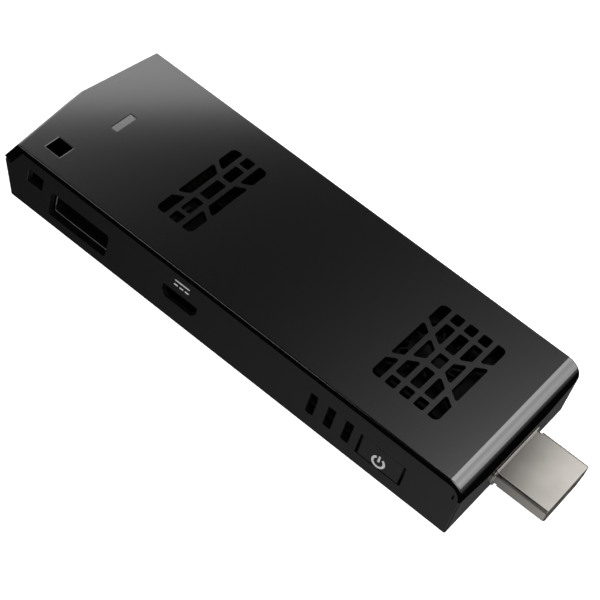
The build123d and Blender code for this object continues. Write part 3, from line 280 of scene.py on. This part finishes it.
def make_crown_group():
    inputs = [
        ("Middle", "NodeSocketVector", (0.0, 0.0, 0.0)),
        ("Swell", "NodeSocketVector", (1.0, 1.0, 0.0)),
    ]
    group, source, sink = new_group("stamped crown", inputs, [("Height", "NodeSocketFloat")])
    distance = vector_math(group, "SUBTRACT", object_place(group), source["Middle"])
    squared = vector_math(group, "MULTIPLY", distance, distance)
    weighed = vector_math(group, "DOT_PRODUCT", squared, source["Swell"])
    feed(group, sink["Height"], number_math(group, "MULTIPLY", weighed, half_falling))
    return group


crown_group = make_crown_group()
print("group:", crown_group.name)

# %% [markdown]
# ## Materials
# Every material here is a Principled shader with the grain or the drawn lines in front of it and a
# Bump node behind the group's height. One function makes the common wiring. Values that are the
# same all over a surface, such as the specular level, go on the shader's own sockets.

# %% Plastic and metal
grain_depth = 0.02 * mm
line_depth = 0.01 * mm
even = (1.0, 1.0, 1.0)


def add_group(material, group, values):
    node = material.node_tree.nodes.new("ShaderNodeGroup")
    node.node_tree = group
    for label, value in values.items():
        node.inputs[label].default_value = value
    return node.outputs


def finish_material(name, group, values, bump_depth, bump_strength):
    material = bpy.data.materials.new(name)
    material.use_nodes = True
    tree = material.node_tree
    shader = tree.nodes["Principled BSDF"].inputs
    effect = add_group(material, group, values)
    bump = tree.nodes.new("ShaderNodeBump")
    bump.inputs["Distance"].default_value = bump_depth
    bump.inputs["Strength"].default_value = bump_strength
    feed(tree, bump.inputs["Height"], effect["Height"])
    feed(tree, shader["Base Color"], effect["Color"])
    feed(tree, shader["Roughness"], effect["Roughness"])
    feed(tree, shader["Normal"], bump.outputs["Normal"])
    return material, shader


def plastic(name, color, roughness, specular, grain, bump, smudge=0.05):
    values = {"Color": (*color, 1.0), "Roughness": roughness}
    values.update({"Grain Scale": grain, "Smudge": smudge})
    material, shader = finish_material(name, grain_group, values, grain_depth, bump)
    shader["Specular IOR Level"].default_value = specular
    return material


def metal(name, color, roughness, stretch=even, streak=0.12, bump=0.1):
    values = {"Color": (*color, 1.0), "Roughness": roughness}
    values.update({"Stretch": stretch, "Streak": streak})
    material, shader = finish_material(name, metal_group, values, line_depth, bump)
    shader["Metallic"].default_value = 1.0
    return material


def grey(value):
    return (value, value, value)


print("plastic and metal can be made")

# %% [markdown]
# The polish of the cover and of the light window is a clear coat on top of the plastic. The window
# is polished all over, so its coat is a plain number, and the cover's coat follows the mask of the
# faces that look up. The crown of the plug is a second Bump node, which goes in front of the fine
# one. Its height is already in metres, so its distance is 1.

# %% Coat and crown
true_height = 1.0


def coat(material, roughness, ior, limits=None):
    tree = material.node_tree
    shader = tree.nodes["Principled BSDF"].inputs
    shader["Coat Roughness"].default_value = roughness
    shader["Coat IOR"].default_value = ior
    weight = add_group(material, polish_group, limits)["Mask"] if limits else 1.0
    feed(tree, shader["Coat Weight"], weight)


def crown(material, middle, swell):
    tree = material.node_tree
    fine = next(node for node in tree.nodes if node.type == "BUMP")
    values = {"Middle": middle, "Swell": swell}
    broad = tree.nodes.new("ShaderNodeBump")
    broad.inputs["Distance"].default_value = true_height
    feed(tree, broad.inputs["Height"], add_group(material, crown_group, values)["Height"])
    feed(tree, fine.inputs["Normal"], broad.outputs["Normal"])


print("coat and crown can be added")

# %% [markdown]
# ### Plastics, boards and chips
# The cover is a satin black whose top is polished. The base and the button are moulded duller, so
# that ports and slots don't glare. What lies inside is dark and dull too: the fan, the magnets, the
# ceramic parts, the boards and the connector tongues are coloured darker than such parts are, which
# is painted shade inside the case and the sockets, so that nothing but darkness shows through the
# vents. Each row of the table is a slot of the record, and gives the material's name, its colour,
# and then in this order: roughness, specular level, grain scale, bump strength, and for some a
# swing of the gloss.

# %% Plastics
plastics = {
    "cover_plastic": ("cover satin black", grey(0.0009), 0.34, 0.0, 11000.0, 0.1),
    "base_plastic": ("base satin black", (0.0022, 0.0022, 0.0023), 0.36, 0.2, 9000.0, 0.16),
    "button_plastic": (
        "button satin black", (0.0024, 0.0024, 0.0025), 0.33, 0.2, 12000.0, 0.08, 0.04),
    "window_plastic": ("smoked window", (0.055, 0.055, 0.057), 0.2, 0.5, 4000.0, 0.02, 0.04),
    # connector tongues: black plastic, made near black to also paint the shade inside the sockets
    "connector_plastic": ("connector black", grey(0.002), 0.5, 0.1, 7000.0, 0.2),
    # fan: near black, painted shade inside the case
    "fan_plastic": ("fan black", grey(0.002), 0.5, 0.1, 6000.0, 0.2),
    "switch_plastic": ("switch black", grey(0.03), 0.5, 0.4, 7000.0, 0.2),
    "chip_package": ("chip moulding", (0.004, 0.004, 0.0042), 0.6, 0.1, 14000.0, 0.35),
    "ferrite": ("ferrite grey", grey(0.008), 0.65, 0.1, 8000.0, 0.4),
    # magnets and ceramics: darkened, painted shade inside the case
    "magnet_ferrite": ("magnet grey", (0.01, 0.01, 0.0105), 0.6, 0.1, 6000.0, 0.3),
    "ceramic": ("ceramic tan", (0.02, 0.015, 0.01), 0.45, 0.1, 8000.0, 0.1),
    "pad_silicone": ("thermal pad grey", (0.1, 0.11, 0.13), 0.75, 0.3, 3000.0, 0.5),
    # boards: near-black mask, painted shade inside the case
    "board_laminate": (
        "board solder mask", (0.003, 0.0035, 0.0035), 0.5, 0.1, 2600.0, 0.25, 0.08),
    "module_laminate": (
        "module solder mask", (0.003, 0.004, 0.007), 0.5, 0.1, 2600.0, 0.25, 0.08),
    "cable_jacket": ("cable jacket", (0.015, 0.015, 0.016), 0.45, 0.5, 5000.0, 0.2),
    "header_plastic": ("header black", grey(0.015), 0.5, 0.4, 5000.0, 0.1),
    "antenna_film": ("antenna film", grey(0.012), 0.35, 0.4, 3000.0, 0.1),
    "led_plastic": ("light chip", (0.5, 0.52, 0.47), 0.3, 0.5, 5000.0, 0.05),
}
finishes = {slot: plastic(*row) for slot, row in plastics.items()}
coat(finishes["cover_plastic"], roughness=0.1, ior=1.9, limits={"Side": 0.5, "Top": 0.8})
coat(finishes["window_plastic"], roughness=0.15, ior=1.9)
print(len(plastics), "plastics")

# %% [markdown]
# ### Metals
# The plug shell is the only bright part: nickel over steel, drawn along its length. The mouths of
# the sockets are a duller nickel, and darker than nickel is, which paints in the shade inside the
# sockets. Inside, the sheet metal is black, and the stator, the coil and the heat spreader are
# coloured near black: painted shade inside the case. The contacts are gold. A row gives the name,
# the colour and the roughness, and where they differ from the usual ones, the direction of the
# lines, their swing of the gloss and their bump strength.

# %% Metals
along_plug = (0.03, 1.0, 1.0)
across_stick = (1.0, 0.03, 1.0)
plug_middle = (50.5 * mm, 0.0, 0.0)
plug_swell = (6.0, -5.0, 0.0)
metals = {
    "plug_steel": ("plug nickel", (0.205, 0.195, 0.18), 0.2, along_plug, 0.08, 0.06),
    # socket nickel: darker than nickel, painted shade inside the sockets
    "socket_steel": ("socket nickel", grey(0.14), 0.3, across_stick, 0.08, 0.08),
    "black_sheet": ("blackened sheet", grey(0.006), 0.5, even, 0.1, 0.2),
    "crystal_can": ("crystal can", (0.05, 0.05, 0.048), 0.4),
    "screw_steel": ("screw zinc", (0.3, 0.3, 0.31), 0.4),
    # stator: near black, painted shade inside the case
    "stator_steel": ("stator steel", (0.03, 0.03, 0.031), 0.5),
    "contact_gold": ("contact gold", (0.78, 0.52, 0.2), 0.26, across_stick, 0.08, 0.08),
    "standoff_brass": ("brass", (0.5, 0.37, 0.17), 0.32),
    # heat spreader and coil: near black, painted shade inside the case
    "spreader_copper": (
        "copper painted dark", (0.02, 0.014, 0.011), 0.45, along_plug, 0.12, 0.15),
    "coil_wire": ("coil enamel", (0.08, 0.03, 0.014), 0.4),
}
finishes.update({slot: metal(*row) for slot, row in metals.items()})
crown(finishes["plug_steel"], plug_middle, plug_swell)
print(len(metals), "metals")

# %% [markdown]
# ### Which solid gets which finish
# The record says which slot each solid takes its finish from. Going through that list means that
# no solid can be forgotten: a slot without a finish would stop the script right here. The memory
# card socket is steel as the USB socket is, but it sits under the vents, so it gets the black
# sheet finish instead of steel: painted shade, standing in for the shade under the vents.

# %% Dress every solid
# the card socket's steel is swapped for black sheet: painted shade under the vents
shade_painted_slots = {"card_socket_shell": "black_sheet"}
dressed = frame["record"]["subparts"]
for part in dressed:
    name = part["node"]
    slots = nodes[name].data.materials
    slots.clear()
    slots.append(finishes[shade_painted_slots.get(name, part["material_slot"])])
print("dressed", len(dressed), "solids")

# %% [markdown]
# ## Printed marks
# Two generic marks are printed on the near side: the power sign on the button, and the direct
# current sign over the small socket. Ink that is pad-printed on plastic stands a few hundredths of
# a millimetre proud. A texture could show it, but here each mark is a thin solid of its own, so
# that it stays sharp in close views and moves with the button when that is pressed. Half of the
# solid's thickness sinks into the plastic, so that no gap shows under it.

# %% Ink and its height
near_side = -18.8 * mm
ink_height = 0.03 * mm
merge_distance = 0.0005 * mm
ink = plastic("mark ink", grey(0.31), 0.5, 0.3, 14000.0, 0.1)


def finish_mark(name):
    piece = bpy.context.object
    bpy.ops.object.mode_set(mode="EDIT")
    bpy.ops.mesh.select_all(action="SELECT")
    bpy.ops.mesh.remove_doubles(threshold=merge_distance)
    bpy.ops.mesh.normals_make_consistent(inside=False)
    bpy.ops.object.mode_set(mode="OBJECT")
    bpy.ops.object.transform_apply(location=True, rotation=True, scale=True)
    piece.name = name
    piece.data.name = name
    piece.data.materials.append(ink)
    print(name, "has", len(piece.data.polygons), "faces")
    return piece


print("ink stands", ink_height / mm, "mm proud")

# %% [markdown]
# ### Straight strokes
# A straight stroke starts as a cube of the stroke's size, and a bevel rounds all of its edges,
# because a printed stroke has round corners at this scale. The bevel is wider than the ink is
# thick, so the roundings of front and back cross each other, and the rim of a stroke ends 0.05 mm
# proud instead of 0.03 mm. That is too little to be seen here. On a thicker piece it would show,
# and then only the four edges that run into the wall should be picked, after vertices, edges and
# faces have all been deselected.

# %% Straight strokes
stroke_corner = 0.08 * mm
corner_segments = 5


def straight_stroke(name, low, high):
    clear_selection()
    (left, bottom), (right, top) = low, high
    centre = ((left + right) / 2, near_side, (bottom + top) / 2)
    bpy.ops.mesh.primitive_cube_add(size=1.0, location=centre)
    stroke = bpy.context.object
    stroke.scale = (right - left, 2 * ink_height, top - bottom)
    bpy.ops.object.transform_apply(location=False, rotation=False, scale=True)
    bpy.ops.object.mode_set(mode="EDIT")
    bpy.ops.mesh.select_all(action="SELECT")
    bpy.ops.mesh.bevel(offset=stroke_corner, segments=corner_segments)
    bpy.ops.object.mode_set(mode="OBJECT")
    return finish_mark(name)


print("a stroke's corner is", stroke_corner / mm, "mm")

# %% [markdown]
# ### The direct current sign
# The sign over the power socket is a bar with three dashes under it. The dashes are spread evenly
# over the length of the bar, the first and the last flush with its ends. It is printed on the
# base, which belongs to the body of the computer, so its strokes ride on that.

# %% Direct current sign
sign_start = -15.45 * mm
sign_end = -12.15 * mm
bar_low = 9.6 * mm
bar_high = 9.91 * mm
dash_low = 8.56 * mm
dash_high = 8.9 * mm
dash_length = 0.85 * mm
dash_count = 3

dash_step = (sign_end - sign_start - dash_length) / (dash_count - 1)
current_sign = [straight_stroke("current_bar", (sign_start, bar_low), (sign_end, bar_high))]
for number in range(dash_count):
    start = sign_start + number * dash_step
    dash = straight_stroke(
        f"current_dash_{number + 1}", (start, dash_low), (start + dash_length, dash_high))
    current_sign.append(dash)
for stroke in current_sign:
    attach(stroke, "computer")

# %% [markdown]
# ### The power sign
# The ring of the power sign is open at the top. It starts as one small rectangle, the cut through
# the stroke, and Spin carries that rectangle round the ring's centre. The bar in its gap is one
# more straight stroke, and both ride on the button.

# %% Power sign
ring_x = 30.69 * mm
ring_z = 4.4 * mm
ring_radius = 1.16 * mm
ring_stroke = 0.46 * mm
half_gap = math.radians(32)
ring_steps = 44
power_bar_low = (30.44 * mm, 4.4 * mm)
power_bar_high = (30.88 * mm, 5.9 * mm)

clear_selection()
ring_start = (
    ring_x + ring_radius * math.sin(half_gap), near_side, ring_z + ring_radius * math.cos(half_gap))
bpy.ops.mesh.primitive_plane_add(
    size=1.0, location=ring_start, rotation=(0.0, half_gap - math.pi / 2, 0.0))
bpy.context.object.scale = (ring_stroke, 2 * ink_height, 1.0)
bpy.ops.object.transform_apply(location=True, rotation=True, scale=True)
bpy.ops.object.mode_set(mode="EDIT")
bpy.ops.mesh.select_all(action="SELECT")
bpy.ops.mesh.spin(
    steps=ring_steps, angle=2 * math.pi - 2 * half_gap,
    center=(ring_x, near_side, ring_z), axis=(0.0, -1.0, 0.0))
bpy.ops.object.mode_set(mode="OBJECT")
ring = finish_mark("power_ring")
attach(ring, "button")
bar = straight_stroke("power_bar", power_bar_low, power_bar_high)
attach(bar, "button")
button_low, button_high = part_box("power_button")
print("button face at", in_mm([button_low[1]], 3), "mm, its top at", in_mm([button_high[2]], 3))

# %% [markdown]
# ## Camera
# The camera's place, direction and tilt were solved from the straight edges of the body in the
# photograph. The numbers below are that solution: where the lens is, where it looks, which way is
# up in the picture, and how long the lens is. The picture is tilted, so "up" isn't the world's up,
# and the turn is written as the three axes of the camera rather than as angles.

# %% Camera
camera_place = Vector((86.71, -202.23, 247.37)) * mm
camera_forward = Vector((-0.26502, 0.61456, -0.74302)).normalized()
rough_up = Vector((-0.58483, 0.51021, 0.6306))
sensor_width = 36.0
lens_length = 111.56

camera_data = bpy.data.cameras.new("camera")
camera_data.sensor_width = sensor_width
camera_data.lens = lens_length
camera = bpy.data.objects.new("camera", camera_data)
bpy.context.scene.collection.objects.link(camera)
camera_right = camera_forward.cross(rough_up).normalized()
picture_up = camera_right.cross(camera_forward)
turn = Matrix((camera_right, picture_up, -camera_forward)).transposed().to_4x4()
camera.matrix_world = Matrix.Translation(camera_place) @ turn
bpy.context.scene.camera = camera
print("camera at", in_mm(camera_place), "mm")

# %% [markdown]
# ## Floor
# A plain pale floor lies a hair under the product, lit until it is white. A black object beside a
# white floor picks up its glare all round, and in the photograph it doesn't: the sides stay black.
# The floor is therefore hidden from reflections, and it is too even to need the shadow of a lamp
# on it. Seen from below it is clear, by the Geometry node's Backfacing, so that the underside of
# the product can be looked at too.

# %% Floor
floor_size = 3000 * mm
floor_gap = 0.02 * mm
floor_look = {
    "Base Color": (0.85, 0.85, 0.85, 1.0),
    "Roughness": 0.9,
    "Specular IOR Level": 0.1,
    "Emission Color": (1.0, 1.0, 1.0, 1.0),
    "Emission Strength": 0.9,
}

clear_selection()
bpy.ops.mesh.primitive_plane_add(size=floor_size, location=(0.0, 0.0, cad_low[2] - floor_gap))
floor = bpy.context.object
floor.name = "floor"
floor.visible_glossy = False
floor.visible_shadow = False
floor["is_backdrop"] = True
floor_material = bpy.data.materials.new("pale floor")
floor_material.use_nodes = True
floor_tree = floor_material.node_tree
floor_shader = floor_tree.nodes["Principled BSDF"]
for label, value in floor_look.items():
    floor_shader.inputs[label].default_value = value
by_side = floor_tree.nodes.new("ShaderNodeMixShader")
clear = floor_tree.nodes.new("ShaderNodeBsdfTransparent")
from_below = floor_tree.nodes.new("ShaderNodeNewGeometry").outputs["Backfacing"]
for socket, value in zip(by_side.inputs, (from_below, floor_shader.outputs[0], clear.outputs[0])):
    feed(floor_tree, socket, value)
feed(floor_tree, floor_tree.nodes["Material Output"].inputs["Surface"], by_side.outputs[0])
floor.data.materials.append(floor_material)
print("floor at", in_mm([floor.location.z], 2), "mm")

# %% [markdown]
# ## World
# The room round the product is nearly dark, with a dim band round the horizon that the upright
# faces mirror, so that they can be read from every side. On top of that lie the soft glows of a
# table, each there for one face: the near side, whose front end it makes lighter than its rear,
# the strip under the front lip, whatever looks down, the front curve, and the two ends of the top.
# A glow is brightest in its direction, and the higher its sharpness, the smaller it is. The band
# works the same way: 1 less the square of the height is 1 at the horizon, and a power makes it
# narrow.

# %% World: the room and its glows
room_strength = 0.005
band_strength = 0.5
band_sharpness = 6.0
glows = [
    # name, direction, sharpness, strength
    ("near side", (0.2, -0.6, -0.77), 22.0, 2.3),
    ("front strip", (0.27, 0.6, -0.75), 8.0, 0.15),
    ("below", (0.0, 0.0, -1.0), 1.0, 0.05),
    ("front curve low", (0.63, 0.53, 0.57), 60.0, 1.5),
    ("front curve high", (0.45, 0.54, 0.71), 60.0, 0.7),
    ("front end", (0.05, 0.57, 0.82), 60.0, 2.0),
    ("rear end", (-0.63, 0.53, 0.57), 60.0, 2.2),
]

world = bpy.data.worlds.new("studio")
bpy.context.scene.world = world
world.use_nodes = True
studio = world.node_tree
outlook = studio.nodes.new("ShaderNodeTexCoord").outputs["Generated"]


def glow_towards(direction, sharpness):
    cosine = vector_math(studio, "DOT_PRODUCT", outlook, Vector(direction).normalized())
    return number_math(studio, "POWER", number_math(studio, "MAXIMUM", cosine, 0.0), sharpness)


parts_of_outlook = studio.nodes.new("ShaderNodeSeparateXYZ")
feed(studio, parts_of_outlook.inputs[0], outlook)
height = parts_of_outlook.outputs["Z"]
levelness = number_math(studio, "SUBTRACT", 1.0, number_math(studio, "MULTIPLY", height, height))
band = number_math(studio, "POWER", levelness, band_sharpness)
total = number_math(studio, "MULTIPLY_ADD", band, band_strength, room_strength)
for label, direction, sharpness, strength in glows:
    glow = glow_towards(direction, sharpness)
    total = number_math(studio, "MULTIPLY_ADD", glow, strength, total)
    print("glow:", label, strength)

# %% [markdown]
# The camera itself shouldn't see that dark room. Where it looks past the floor it sees plain white
# instead, which the Light Path node allows: it tells rays that come straight from the camera from
# those that a surface has mirrored.

# %% World: what the camera sees
room = studio.nodes["Background"]
white = studio.nodes.new("ShaderNodeBackground")
for background in (room, white):
    background.inputs["Color"].default_value = (1.0, 1.0, 1.0, 1.0)
feed(studio, room.inputs["Strength"], total)
by_ray = studio.nodes.new("ShaderNodeMixShader")
straight = studio.nodes.new("ShaderNodeLightPath").outputs["Is Camera Ray"]
for socket, value in zip(by_ray.inputs, (straight, room.outputs[0], white.outputs[0])):
    feed(studio, socket, value)
feed(studio, studio.nodes["World Output"].inputs["Surface"], by_ray.outputs[0])
print("world ready with", len(glows), "glows")

# %% [markdown]
# ## Lights
# Black plastic shows its shape almost only through reflections: what matters is which light each
# surface mirrors towards the camera. The boxes hang on a dome round the product, each at its own
# direction, and face its top. The front end and the front curve mirror the front softbox, and the
# rear end mirrors the rear one. Between them the top stays black. The near strip draws the fine
# line along the near edge. The room fill stands on the camera's side, where no flat face mirrors
# it into this camera, and lights the ink. The azimuth counts from the far side towards the plug,
# and the energy of a box grows with its area, so that its brightness stays the same when its size
# changes.

# %% Lights
dome_radius = 0.8
softboxes = [
    # name, azimuth, elevation, width, height, radiance, spin
    ("front softbox", 31.6, 40.3, 0.697, 0.963, 2.0, 0.0),
    ("rear softbox", -47.0, 26.5, 0.78, 0.485, 1.9, -4.0),
    ("near strip", -154.0, 35.0, 0.3, 0.15, 4.0, 0.0),
    ("room fill", 128.9, 37.9, 0.9, 0.9, 2.5, 0.0),
]
top_centre = Vector((0.0, 0.0, cad_high[2]))


def turned(degrees, axis):
    return Matrix.Rotation(math.radians(degrees), 4, axis)


def add_softbox(name, azimuth, elevation, width, height, radiance, spin):
    light = bpy.data.lights.new(name, "AREA")
    light.shape = "RECTANGLE"
    light.size = width
    light.size_y = height
    light.energy = radiance * math.pi * width * height
    lamp = bpy.data.objects.new(name, light)
    bpy.context.scene.collection.objects.link(lamp)
    outwards = turned(-azimuth, "Z") @ turned(elevation, "X") @ Vector((0.0, 1.0, 0.0))
    sideways = turned(-azimuth, "Z") @ Vector((1.0, 0.0, 0.0))
    upwards = sideways.cross(outwards)
    axes = Matrix((sideways, upwards, outwards)).transposed().to_4x4()
    place = Matrix.Translation(top_centre + outwards * dome_radius)
    lamp.matrix_world = place @ axes @ turned(spin, "Z")
    print(name, [round(value, 3) for value in lamp.matrix_world.translation])


for row in softboxes:
    add_softbox(*row)
bpy.context.scene.view_settings.view_transform = "Standard"
print("lights added:", len(softboxes))

# %% Sizes and last check
seen_low, seen_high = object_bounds()
print("visual box", in_mm((high - low for low, high in zip(seen_low, seen_high)), 2), "mm")
